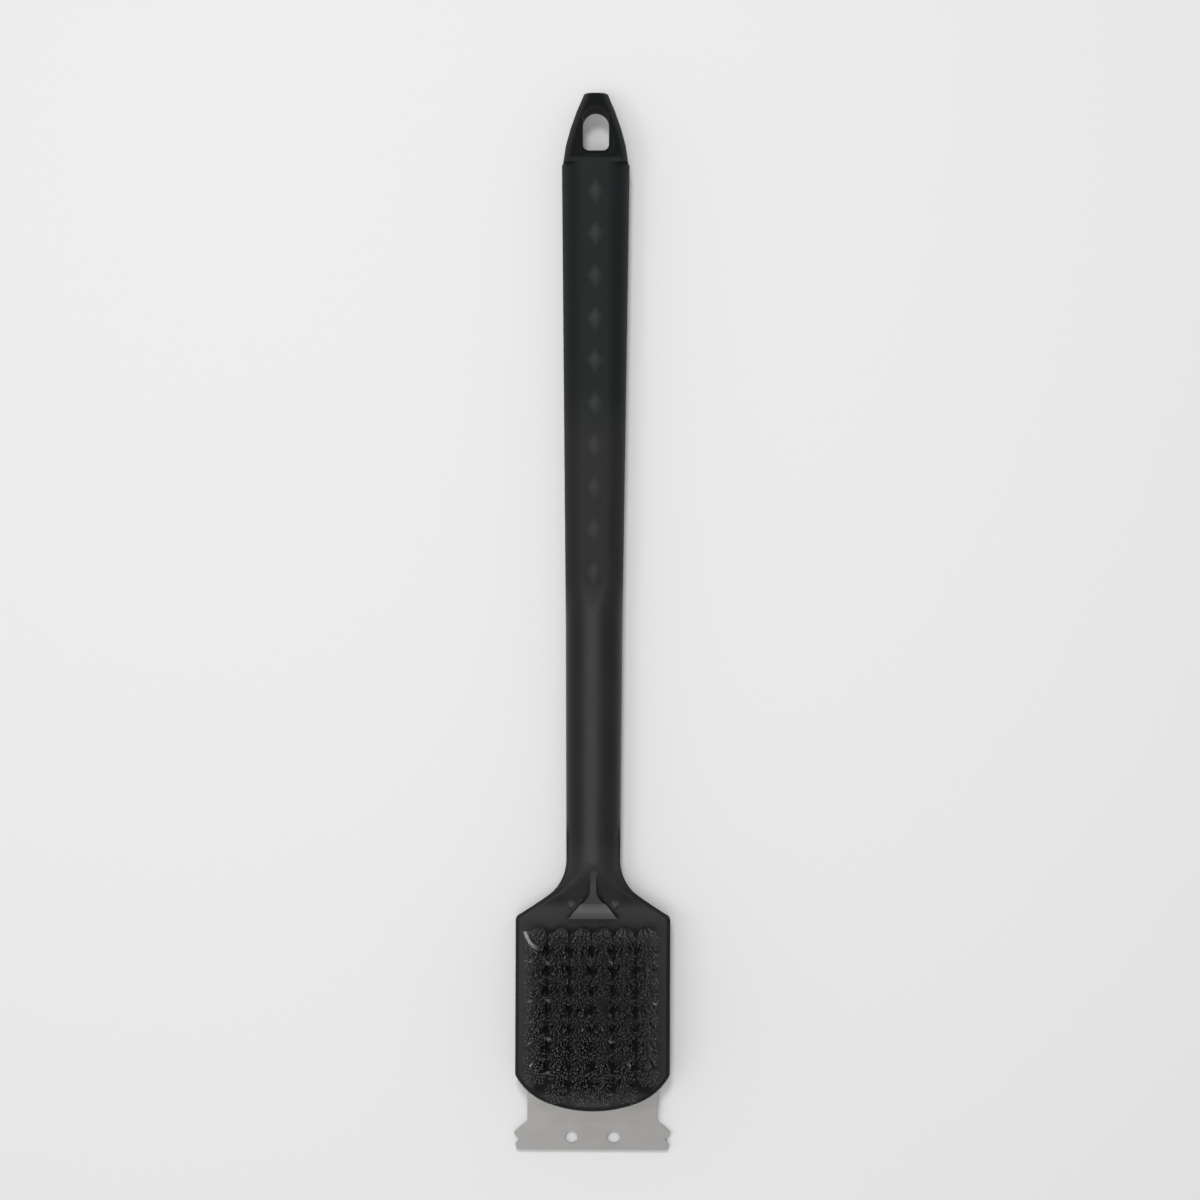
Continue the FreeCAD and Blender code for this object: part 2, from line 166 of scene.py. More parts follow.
def make_edge_effect():
    """Light mask along convex and concave edges."""
    group, start, end = effect_group(
        "edge polish",
        [
            ("Place", "NodeSocketVector", None),
            ("Width", "NodeSocketFloat", 0.0006),
            ("Breakup Scale", "NodeSocketFloat", 420.0),
        ],
        [("Mask", "NodeSocketFloat")],
    )
    rounded = place_node(group, "ShaderNodeBevel", {"Radius": start.outputs["Width"]}, samples=4)
    true_normal = place_node(group, "ShaderNodeNewGeometry")
    agreement = vector_calc(group, "DOT_PRODUCT", rounded.outputs["Normal"], true_normal.outputs["Normal"])
    turned = spread_range(group, agreement, 0.995, 0.86, 0.0, 1.0)
    breakup = place_node(group, "ShaderNodeTexNoise", {
        "Vector": start.outputs["Place"],
        "Scale": start.outputs["Breakup Scale"],
        "Detail": 2.0,
    })
    worn = spread_range(group, breakup.outputs["Fac"], 0.38, 0.62, 0.35, 1.0)
    group.links.new(calc(group, "MULTIPLY", turned, worn), end.inputs["Mask"])
    return group


def make_brushing_effect():
    """Long fine lines that a belt or a die leaves on steel."""
    group, start, end = effect_group(
        "brushed lines",
        [
            ("Place", "NodeSocketVector", None),
            ("Line Scale", "NodeSocketFloat", 5200.0),
            ("Stretch", "NodeSocketVector", (0.012, 1.0, 1.0)),
        ],
        [("Height", "NodeSocketFloat"), ("Tone", "NodeSocketFloat")],
    )
    stretched = vector_calc(group, "MULTIPLY", start.outputs["Place"], start.outputs["Stretch"])
    lines = place_node(group, "ShaderNodeTexNoise", {
        "Vector": stretched,
        "Scale": start.outputs["Line Scale"],
        "Detail": 4.0,
        "Roughness": 0.65,
    })
    bands = place_node(group, "ShaderNodeTexNoise", {
        "Vector": stretched,
        "Scale": calc(group, "MULTIPLY", start.outputs["Line Scale"], 0.08),
        "Detail": 2.0,
    })
    group.links.new(lines.outputs["Fac"], end.inputs["Height"])
    tone = calc(group, "ADD", calc(group, "MULTIPLY", lines.outputs["Fac"], 0.5),
                calc(group, "MULTIPLY", bands.outputs["Fac"], 0.5))
    group.links.new(tone, end.inputs["Tone"])
    return group


def make_cavity_effect():
    """Mask of grooves and corners that little light reaches, for painted shade there."""
    group, start, end = effect_group(
        "cavity shade",
        [("Reach", "NodeSocketFloat", 0.004)],
        [("Mask", "NodeSocketFloat")],
    )
    open_sky = place_node(group, "ShaderNodeAmbientOcclusion", {
        "Distance": start.outputs["Reach"],
    }, samples=6, only_local=True)
    mask = spread_range(group, open_sky.outputs["AO"], 0.92, 0.66, 0.0, 1.0)
    group.links.new(mask, end.inputs["Mask"])
    return group


grain_effect = make_grain_effect()
edge_effect = make_edge_effect()
brushing_effect = make_brushing_effect()
cavity_effect = make_cavity_effect()


# Finishes

def new_finish(name):
    finish = bpy.data.materials.new(name)
    finish.use_nodes = True
    tree = finish.node_tree
    tree.nodes.clear()
    shader = place_node(tree, "ShaderNodeBsdfPrincipled")
    output = place_node(tree, "ShaderNodeOutputMaterial", {"Surface": shader.outputs["BSDF"]})
    output.is_active_output = True
    coordinates = place_node(tree, "ShaderNodeTexCoord")
    return finish, tree, shader, coordinates.outputs["Object"]


def place_effect(tree, group, **inputs):
    """An effect in a material. An underscore stands for the space in the name of an input."""
    named = {key.replace("_", " "): value for key, value in inputs.items()}
    return place_node(tree, "ShaderNodeGroup", named, node_tree=group)


def mix_colours(tree, share, first, second):
    """Sockets 6 and 7 of the node are its two colours."""
    inputs = {"Factor": share, 6: first, 7: second}
    return place_node(tree, "ShaderNodeMix", inputs, data_type="RGBA").outputs[2]


def strongest(tree, *layers):
    """The largest of several masks, each of them times its own strength."""
    largest = 0.0
    for mask, strength in layers:
        largest = calc(tree, "MAXIMUM", largest, calc(tree, "MULTIPLY", mask, strength))
    return largest


def relief(tree, height, depth, strength=1.0):
    bump = place_node(tree, "ShaderNodeBump", {"Height": height, "Distance": depth, "Strength": strength})
    return bump.outputs["Normal"]


# Masks on the moulding: what each one reads, where it starts and where it is full. Places are in
# metres. Upward is 1 on a face that looks up, 0 on a wall and -1 on a face that looks down, and
# flatness is the same without its sign.
MOULDING_MASKS = {
    "grip": [("along", 0.206, 0.224)],
    "upper grip": [("along", 0.296, 0.326)],
    "stud": [("along", 0.206, 0.224), ("over crest", 0.0, 0.0011)],
    "head": [("along", 0.046, 0.041)],
    "head wall": [("along", 0.0950, 0.0850), ("flatness", 0.60, 0.40)],
    "shoulder": [("along", 0.0860, 0.0680), ("height", 0.0215, 0.0205)],
    "neck side": [("side", 0.0175, 0.0120), ("along", 0.0500, 0.0560), ("along", 0.0860, 0.0740)],
    "ramp": [("along", 0.0520, 0.0495), ("height", 0.0240, 0.0252)],
    "ramp lip": [("along", 0.0520, 0.0495), ("height", 0.0240, 0.0252), ("along", 0.0472, 0.0436)],
    "ridge": [("along", 0.0640, 0.0560), ("height", 0.0232, 0.0240)],
    "pad": [("from pad", 0.0030, 0.0016)],
    "between tufts": [("side", 0.0335, 0.0300), ("along", 0.0385, 0.0360), ("along", -0.0520, -0.0490)],
    "tip strip": [("side", 0.0100, 0.0085), ("from strip", 0.0013, 0.0006), ("height", 0.0190, 0.0195)],
    "nose step": [("from step", 0.0014, 0.0007)],
    "nose top": [("along", 0.4462, 0.4472), ("upward", 0.90, 0.96)],
    "nose bevel": [("along", 0.4440, 0.4448), ("upward", 0.20, 0.35), ("upward", 0.90, 0.80)],
}
PAD_SIDE = 0.0114
PAD_ALONG = 0.0502
TIP_STRIP_ALONG = -0.0564
NOSE_STEP_ALONG = 0.4443

# Where the crest of the handle runs, and its height at both ends
CREST_RUN = (0.22026, 0.44426)
CREST_HEIGHTS = (0.0272, 0.0295)

# Where the line between the halves of the mould runs, its height at both ends, and its half width
NECK_SEAM_RUN = (0.044, 0.0745)
NECK_SEAM_HEIGHTS = (0.0100, 0.0130)
HANDLE_SEAM_RUN = (0.0745, 0.444)
HANDLE_SEAM_RISE = (0.0, 0.00175)
SEAM_HALF_WIDTH = (0.00022, 0.00006)

# Colours of the moulding, each pair from the darkest to the palest patch
SATIN_BLACKS = (0.0120, 0.0122, 0.0124, 1), (0.0160, 0.0163, 0.0165, 1)
# The upper grip's pair is darker than the satin pair: painted shade towards the nose end
UPPER_GRIP_PAINTED_SHADE_BLACKS = (0.0050, 0.0070, 0.0073, 1), (0.0070, 0.0090, 0.0094, 1)
SHADED_BLACK = (0.0060, 0.0058, 0.0058, 1)
# Painted shade on the plastic between the tufts
PAINTED_TUFT_SHADE_BLACK = (0.0016, 0.0015, 0.0015, 1)
# Painted shade on the top of the nose round the slot and under the lip of the ramp
PAINTED_RECESS_SHADE_BLACK = (0.0025, 0.0026, 0.0027, 1)
# Painted shade in grooves and corners
PAINTED_GROOVE_SHADE_BLACK = (0.0030, 0.0030, 0.0031, 1)
# Painted highlight on the studs, the nose bevels, the upper ramp, the ridge and the sides of the neck
PAINTED_HIGHLIGHT_BLACK = (0.022, 0.0225, 0.0225, 1)
# Painted glints on the pads, the strip at the tip and the ridge
PAINTED_GLINT_GREY = (0.046, 0.046, 0.046, 1)
# Lighter edges: partly wear, partly a painted highlight along the edge
WORN_AND_LIT_EDGE_GREY = (0.060, 0.0605, 0.061, 1)


def make_moulding_masks(tree, axes):
    """The masks of the table above, each the product of its steps from 0 to 1."""
    along = axes["Y"]
    side = calc(tree, "ABSOLUTE", axes["X"])
    facing = place_node(tree, "ShaderNodeNewGeometry").outputs["True Normal"]
    upward = place_node(tree, "ShaderNodeSeparateXYZ", {"Vector": facing}).outputs["Z"]
    crest = spread_range(tree, along, *CREST_RUN, *CREST_HEIGHTS)
    to_pad = place_node(tree, "ShaderNodeCombineXYZ", {
        "X": calc(tree, "SUBTRACT", side, PAD_SIDE),
        "Y": calc(tree, "SUBTRACT", along, PAD_ALONG),
    })
    readings = {
        "along": along,
        "side": side,
        "height": axes["Z"],
        "upward": upward,
        "flatness": calc(tree, "ABSOLUTE", upward),
        "over crest": calc(tree, "SUBTRACT", axes["Z"], crest),
        "from pad": vector_calc(tree, "LENGTH", to_pad.outputs["Vector"]),
        "from strip": calc(tree, "ABSOLUTE", calc(tree, "SUBTRACT", along, TIP_STRIP_ALONG)),
        "from step": calc(tree, "ABSOLUTE", calc(tree, "SUBTRACT", along, NOSE_STEP_ALONG)),
    }
    masks = {}
    for name, steps in MOULDING_MASKS.items():
        mask = 1.0
        for reading, start, full in steps:
            step = spread_range(tree, readings[reading], start, full, 0.0, 1.0)
            mask = calc(tree, "MULTIPLY", mask, step)
        masks[name] = mask
    return masks


def colour_moulding(tree, on, along, patch, edge, cavity):
    """Painted shade first, then painted highlights and glints, edge wear with a painted edge highlight, and
    last painted shade in the grooves.
    """
    satin = mix_colours(tree, patch, *SATIN_BLACKS)
    matt = mix_colours(tree, patch, *UPPER_GRIP_PAINTED_SHADE_BLACKS)
    shade = strongest(tree, (on["head"], 0.6), (on["shoulder"], 0.35), (on["head wall"], 1.0))
    # Painted shade between the tufts
    painted_tuft_shade = calc(tree, "MULTIPLY", on["between tufts"], 0.50)
    # Painted shade on the nose top and under the ramp's lip
    recess = strongest(tree, (on["nose top"], 0.45), (on["ramp lip"], 0.9))
    upper_ramp = calc(tree, "SUBTRACT", on["ramp"], on["ramp lip"])
    # Painted highlights: on the upper ramp, the ridge and the neck sides, and on the studs and the nose
    # bevels
    painted_neck_highlight = strongest(tree, (upper_ramp, 0.60), (on["ridge"], 0.75), (on["neck side"], 0.75))
    painted_highlight = strongest(tree, (on["stud"], 0.50), (on["nose bevel"], 0.45), (painted_neck_highlight, 1.0))
    # Painted glints on the pads, the tip strip and the ridge
    painted_glints = strongest(tree, (on["pad"], 0.9), (on["tip strip"], 0.5), (on["ridge"], 0.35))
    # Edge wear with a painted edge highlight, held back on the nose step and the head's walls
    edges_kept_plain = strongest(tree, (on["nose step"], 0.8), (on["head wall"], 0.8))
    edge_wear_and_highlight = calc(tree, "MULTIPLY", edge, calc(tree, "MULTIPLY_ADD", edges_kept_plain, -0.45, 0.45))
    # Painted shade in grooves and corners, less by the ridge and none on the pads
    beside_ridge = spread_range(tree, along, 0.0500, 0.0560, 1.0, 0.25)
    off_pad = calc(tree, "MULTIPLY_ADD", on["pad"], -0.9, 1.0)
    groove = calc(tree, "MULTIPLY", cavity, calc(tree, "MULTIPLY", beside_ridge, off_pad))
    # The upper grip takes the darker pair, as painted shade
    tone = mix_colours(tree, on["upper grip"], satin, matt)
    for share, colour in (
        (shade, SHADED_BLACK),
        (painted_tuft_shade, PAINTED_TUFT_SHADE_BLACK),
        (recess, PAINTED_RECESS_SHADE_BLACK),
        (painted_highlight, PAINTED_HIGHLIGHT_BLACK),
        (painted_glints, PAINTED_GLINT_GREY),
        (edge_wear_and_highlight, WORN_AND_LIT_EDGE_GREY),
        (groove, PAINTED_GROOVE_SHADE_BLACK),
    ):
        tone = mix_colours(tree, share, tone, colour)
    return tone


def roughen_moulding(tree, on, patch, edge):
    """Satin, matt on the grip, dull where nothing rubs and smoother where something does."""
    satin = spread_range(tree, patch, 0.3, 0.7, 0.36, 0.42)
    matt = calc(tree, "MULTIPLY", calc(tree, "MULTIPLY_ADD", on["stud"], -0.6, on["grip"]), 0.26)
    dull_hollows = strongest(tree, (on["between tufts"], 0.30), (on["nose top"], 0.30), (on["ramp lip"], 0.15))
    dull = strongest(tree, (dull_hollows, 1.0), (on["head wall"], 0.40))
    smooth = strongest(tree, (on["ramp"], 0.07), (edge, 0.07))
    return calc(tree, "SUBTRACT", calc(tree, "ADD", calc(tree, "ADD", satin, matt), dull), smooth)


def make_black_plastic():
    """Black moulding with fine grain and the line where the two halves of its mould met."""
    finish, tree, shader, place = new_finish("black moulded plastic")
    grain = place_effect(tree, grain_effect, Place=place, Grain_Scale=2400.0, Patch_Scale=30.0).outputs
    edge = place_effect(tree, edge_effect, Place=place, Width=0.0009, Breakup_Scale=300.0).outputs["Mask"]
    cavity = place_effect(tree, cavity_effect, Reach=0.0035).outputs["Mask"]
    axes = place_node(tree, "ShaderNodeSeparateXYZ", {"Vector": place}).outputs
    on = make_moulding_masks(tree, axes)
    tone = colour_moulding(tree, on, axes["Y"], grain["Patch"], edge, cavity)
    tree.links.new(tone, shader.inputs["Base Color"])
    tree.links.new(roughen_moulding(tree, on, grain["Patch"], edge), shader.inputs["Roughness"])
    on_neck = spread_range(tree, axes["Y"], *NECK_SEAM_RUN, *NECK_SEAM_HEIGHTS)
    on_handle = spread_range(tree, axes["Y"], *HANDLE_SEAM_RUN, *HANDLE_SEAM_RISE)
    seam_height = calc(tree, "ADD", on_neck, on_handle)
    from_seam = calc(tree, "ABSOLUTE", calc(tree, "SUBTRACT", axes["Z"], seam_height))
    seam = spread_range(tree, from_seam, *SEAM_HALF_WIDTH, 0.0, 3.0)
    height = calc(tree, "ADD", grain["Height"], seam)
    tree.links.new(relief(tree, height, 0.00004, 0.7), shader.inputs["Normal"])
    shader.inputs["Specular IOR Level"].default_value = 0.17
    return finish


# Dark and light tone of each steel, and the tone of its cut ends, stains or rubbed edges. On the wires the
# pale tone of the cut ends reaches down the top of the tips as painted light.
BRISTLE_TONES = (0.150, 0.141, 0.138, 1), (0.270, 0.254, 0.250, 1)
BRISTLE_CUT_AND_LIT_TIP = (0.31, 0.295, 0.290, 1)
CUT_ENDS_AND_LIT_TIPS = (0.0455, 0.0469)
# The bent wires are a lighter copy of the wire steel: a painted glint
BENT_WIRE_TONES = (0.20, 0.197, 0.194, 1), (0.31, 0.305, 0.30, 1)
BENT_WIRE_CUT_AND_LIT_TIP = (0.36, 0.355, 0.35, 1)
SHEET_TONES = (0.212, 0.208, 0.202, 1), (0.292, 0.286, 0.279, 1)
SHEET_STAIN = (0.206, 0.200, 0.193, 1)
SHEET_EDGE = (0.52, 0.51, 0.50, 1)
SCREW_TONES = (0.46, 0.47, 0.48, 1), (0.62, 0.64, 0.66, 1)
ANCHOR_TONES = (0.25, 0.25, 0.24, 1), (0.40, 0.40, 0.39, 1)
PLATED_EDGE = (0.75, 0.75, 0.74, 1)

# How the brushed lines are drawn out: up the wires, and across the sheet
WIRE_LINES = (1.0, 1.0, 0.03)
SHEET_LINES = (0.01, 1.0, 1.0)


def set_steel(tree, shader, tone, pattern, roughness, height, strength):
    """Metal whose tone, roughness and relief follow its own pattern."""
    tree.links.new(tone, shader.inputs["Base Color"])
    shader.inputs["Metallic"].default_value = 1.0
    tree.links.new(spread_range(tree, pattern, 0.3, 0.7, *roughness), shader.inputs["Roughness"])
    tree.links.new(relief(tree, height, 0.00001, strength), shader.inputs["Normal"])


def make_wire_steel(name, tones, cut_and_lit_tone, roughness):
    finish, tree, shader, place = new_finish(name)
    lines = place_effect(tree, brushing_effect, Place=place, Line_Scale=9000.0, Stretch=WIRE_LINES).outputs
    height = place_node(tree, "ShaderNodeSeparateXYZ", {"Vector": place}).outputs["Z"]
    # Paler tops of the wires: the cut ends, and painted light down the tips
    cut_end_and_lit_tip = spread_range(tree, height, *CUT_ENDS_AND_LIT_TIPS, 0.0, 0.5)
    drawn = mix_colours(tree, lines["Tone"], *tones)
    tone = mix_colours(tree, cut_end_and_lit_tip, drawn, cut_and_lit_tone)
    set_steel(tree, shader, tone, lines["Tone"], roughness, lines["Height"], 0.5)
    return finish


def make_scraper_steel():
    finish, tree, shader, place = new_finish("brushed stainless sheet")
    lines = place_effect(tree, brushing_effect, Place=place, Line_Scale=4200.0, Stretch=SHEET_LINES).outputs
    grain = place_effect(tree, grain_effect, Place=place, Grain_Scale=900.0, Patch_Scale=45.0).outputs
    edge = place_effect(tree, edge_effect, Place=place, Width=0.0002, Breakup_Scale=500.0).outputs["Mask"]
    sheet = mix_colours(tree, lines["Tone"], *SHEET_TONES)
    stained = mix_colours(tree, spread_range(tree, grain["Patch"], 0.45, 0.75, 0.0, 0.35), sheet, SHEET_STAIN)
    tone = mix_colours(tree, calc(tree, "MULTIPLY", edge, 0.5), stained, SHEET_EDGE)
    set_steel(tree, shader, tone, lines["Tone"], (0.38, 0.52), lines["Height"], 0.6)
    return finish


def make_plated_steel(name, tones, roughness):
    finish, tree, shader, place = new_finish(name)
    grain = place_effect(tree, grain_effect, Place=place, Grain_Scale=3200.0, Patch_Scale=260.0).outputs
    edge = place_effect(tree, edge_effect, Place=place, Width=0.0002, Breakup_Scale=900.0).outputs["Mask"]
    plated = mix_colours(tree, grain["Patch"], *tones)
    tone = mix_colours(tree, calc(tree, "MULTIPLY", edge, 0.4), plated, PLATED_EDGE)
    set_steel(tree, shader, tone, grain["Patch"], roughness, grain["Height"], 0.5)
    return finish


black_plastic = make_black_plastic()
bristle_wire = make_wire_steel("drawn steel wire", BRISTLE_TONES, BRISTLE_CUT_AND_LIT_TIP, (0.50, 0.64))
# The bent wires' steel is painted lighter so that they glint
painted_glint_wire = make_wire_steel("steel wire painted lighter to glint", BENT_WIRE_TONES, BENT_WIRE_CUT_AND_LIT_TIP, (0.34, 0.46))
scraper_steel = make_scraper_steel()
screw_steel = make_plated_steel("zinc plated screw", SCREW_TONES, (0.28, 0.40))
anchor_steel = make_plated_steel("flat anchor wire", ANCHOR_TONES, (0.35, 0.50))

nodes["tuft_anchors"].material_slots[0].material = anchor_steel


# Pieces

def settle(name, mesh, finish=None):
    """An object at the origin that holds a finished mesh."""
    piece = bpy.data.objects.new(name, mesh)
    bpy.context.scene.collection.objects.link(piece)
    if finish is not None:
        mesh.materials.clear()
        mesh.materials.append(finish)
    return piece


def bake_modifiers(piece):
    """The piece with its modifiers worked into a plain mesh."""
    depsgraph = bpy.context.evaluated_depsgraph_get()
    mesh = bpy.data.meshes.new_from_object(piece.evaluated_get(depsgraph), depsgraph=depsgraph)
    name = piece.name
    bpy.data.objects.remove(piece)
    mesh.name = name
    return settle(name, mesh)


def sharpen(mesh, sharp_angle):
    """Smooth shading, except across edges sharper than the angle."""
    shape = bmesh.new()
    shape.from_mesh(mesh)
    for face in shape.faces:
        face.smooth = True
    for edge in shape.edges:
        edge.smooth = edge.calc_face_angle(0.0) < sharp_angle
    shape.to_mesh(mesh)
    shape.free()


def smooth_copy(node, name, finish, sharp_angle, edge_round=0.0, reshape=None):
    """A merged copy of a CAD node, shaded smooth except across sharp edges."""
    mesh = nodes[node].data.copy()
    mesh.name = name
    shape = bmesh.new()
    shape.from_mesh(mesh)
    bmesh.ops.remove_doubles(shape, verts=shape.verts, dist=0.000002)
    bmesh.ops.dissolve_degenerate(shape, edges=shape.edges, dist=0.000001)
    shape.to_mesh(mesh)
    shape.free()
    if mesh.has_custom_normals:
        mesh.attributes.remove(mesh.attributes["custom_normal"])
    if reshape is not None:
        reshape(mesh)
    sharpen(mesh, sharp_angle)
    piece = settle(name, mesh, finish)
    if edge_round:
        rounding = piece.modifiers.new("rounded edges", "BEVEL")
        rounding.width = edge_round
        rounding.segments = 2
        rounding.limit_method = "ANGLE"
        rounding.angle_limit = math.radians(40.0)
        rounding.harden_normals = True
    else:
        weighting = piece.modifiers.new("even shading", "WEIGHTED_NORMAL")
        weighting.keep_sharp = True
    piece = bake_modifiers(piece)
    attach(piece, "root")
    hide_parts(node)
    return piece


# Draft of the mould: the walls of the shoulders lean in towards the back of the head
HEAD_THICKNESS = 0.020
SHOULDER_DRAFT = 0.0026
DRAFT_FROM_HEAD = (0.0395, 0.0465)
DRAFT_FROM_NECK = (0.105, 0.075)


def share_between(value, start, end):
    share = min(max((value - start) / (end - start), 0.0), 1.0)
    return share * share * (3.0 - 2.0 * share)


def draft_shoulders(mesh):
    for vertex in mesh.vertices:
        place = vertex.co
        on_shoulder = share_between(place.y, *DRAFT_FROM_HEAD) * share_between(place.y, *DRAFT_FROM_NECK)
        below_face = max(1.0 - place.z / HEAD_THICKNESS, 0.0)
        place.y -= SHOULDER_DRAFT * on_shoulder * below_face


def make_body():
    name = "handle_and_head"
    piece = smooth_copy("moulded_body", name, black_plastic, math.radians(28.0), reshape=draft_shoulders)


# Scraper plate with the small round that stamping leaves on its edges
def make_scraper():
    name = "scraper_plate"
    piece = smooth_copy("scraper_blade", name, scraper_steel, math.radians(20.0), edge_round=0.00016)


# Screws: a domed head with a cross recess, and the shank that cuts its way into the plastic
SCREW_HEAD_HEIGHT = 0.0019
SHANK_RADIUS = 0.00175
CORE_RADIUS = 0.8 * SHANK_RADIUS
THREAD_PITCH = 0.0014
THREAD_START = 0.0016
THREAD_END = 0.0014
RECESS_DEPTH = 0.0012
RECESS_REACH = 0.0020
RECESS_HALF_WIDTH = 0.00045


def lathe(name, profile, finish, turns=48):
    shape = bmesh.new()
    ring = [shape.verts.new((radius, 0.0, height)) for radius, height in profile]
    edges = [shape.edges.new(pair) for pair in zip(ring, ring[1:])]
    bmesh.ops.spin(shape, geom=ring + edges, axis=(0, 0, 1), cent=(0, 0, 0), angle=math.tau, steps=turns)
    bmesh.ops.remove_doubles(shape, verts=shape.verts, dist=0.000002)
    bmesh.ops.recalc_face_normals(shape, faces=shape.faces)
    mesh = bpy.data.meshes.new(name)
    shape.to_mesh(mesh)
    shape.free()
    return settle(name, mesh, finish)


def cross_cutter(centre, low, depth):
    """Two crossed wedges, wide at the face of the head and narrow at the bottom of the recess."""
    shape = bmesh.new()
    for half_x, half_y in ((RECESS_REACH, RECESS_HALF_WIDTH), (RECESS_HALF_WIDTH, RECESS_REACH)):
        corners = []
        for height, share in ((low - 0.0005, 1.1), (low + depth, 0.62)):
            for along, across in ((-1, -1), (1, -1), (1, 1), (-1, 1)):
                place = (centre.x + along * half_x * share, centre.y + across * half_y * share, height)
                corners.append(shape.verts.new(place))
        shape.faces.new(corners[3::-1])
        shape.faces.new(corners[4:])
        for i in range(4):
            j = (i + 1) % 4
            shape.faces.new((corners[i], corners[j], corners[4 + j], corners[4 + i]))
    mesh = bpy.data.meshes.new("cross cutter")
    shape.to_mesh(mesh)
    shape.free()
    return settle("cross cutter", mesh)


def make_screw(node, name):
    low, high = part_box(node)
    centre = (low + high) / 2
    head = (high.x - low.x) / 2
    seat = low.z + SCREW_HEAD_HEIGHT
    profile = [(0.0, low.z), (0.45 * head, low.z + 0.00008), (0.72 * head, low.z + 0.0004),
               (0.90 * head, low.z + 0.0008), (head, low.z + 0.0014), (head, seat - 0.0001),
               (head - 0.0001, seat), (CORE_RADIUS, seat)]
    groove = seat + THREAD_START
    while groove + THREAD_PITCH < high.z - THREAD_END:
        profile.append((CORE_RADIUS, groove))
        profile.append((SHANK_RADIUS, groove + 0.35 * THREAD_PITCH))
        profile.append((CORE_RADIUS, groove + 0.7 * THREAD_PITCH))
        groove += THREAD_PITCH
    profile += [(CORE_RADIUS, high.z - 0.0012), (0.25 * SHANK_RADIUS, high.z - 0.0002), (0.0, high.z)]
    piece = lathe(name, profile, screw_steel)
    piece.data.transform(Matrix.Translation((centre.x, centre.y, 0.0)))
    cutter = cross_cutter(centre, low.z, RECESS_DEPTH)
    cut = piece.modifiers.new("cross recess", "BOOLEAN")
    cut.operation = "DIFFERENCE"
    cut.solver = "EXACT"
    cut.use_self = True
    cut.object = cutter
    piece = bake_modifiers(piece)
    bpy.data.objects.remove(cutter)
    sharpen(piece.data, math.radians(35.0))
    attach(piece, "root")
    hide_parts(node)


make_body()
make_scraper()
make_screw("scraper_screw_left", "screw_left")
make_screw("scraper_screw_right", "screw_right")


# What both wire trees share
def new_wire_tree(name, wanted):
    """A tree with named inputs, the identifiers that set these inputs, and its two ends."""
    tree = bpy.data.node_groups.new(name, "GeometryNodeTree")
    identifiers = {}
    for label, kind in wanted:
        socket = tree.interface.new_socket(label, in_out="INPUT", socket_type="NodeSocket" + kind)
        identifiers[label] = socket.identifier
    tree.interface.new_socket("Wires", in_out="OUTPUT", socket_type="NodeSocketGeometry")
    start = tree.nodes.new("NodeGroupInput").outputs
    end = tree.nodes.new("NodeGroupOutput").inputs
    return tree, identifiers, start, end


def draw_wires(tree, start, end, curves):
    """Smooth tubes along the curves, made real and given their finish."""
    profile = place_node(tree, "GeometryNodeCurvePrimitiveCircle", {
        "Resolution": start["Wire Sides"],
        "Radius": calc(tree, "MULTIPLY", start["Wire Diameter"], 0.5),
    })
    tubes = place_node(tree, "GeometryNodeCurveToMesh", {
        "Curve": curves,
        "Profile Curve": profile.outputs["Curve"],
        "Fill Caps": True,
    })
    smooth = place_node(tree, "GeometryNodeSetShadeSmooth", {"Geometry": tubes.outputs["Mesh"]})
    real = place_node(tree, "GeometryNodeRealizeInstances", {"Geometry": smooth.outputs["Geometry"]})
    finished = place_node(tree, "GeometryNodeSetMaterial", {
        "Geometry": real.outputs["Geometry"],
        "Material": start["Finish"],
    })
    tree.links.new(finished.outputs["Geometry"], end["Wires"])


def grow_wires(piece, tree, identifiers, values):
    growth = piece.modifiers.new("wires", "NODES")
    growth.node_group = tree
    for label, value in values.items():
        growth[identifiers[label]] = value
    return bake_modifiers(piece)


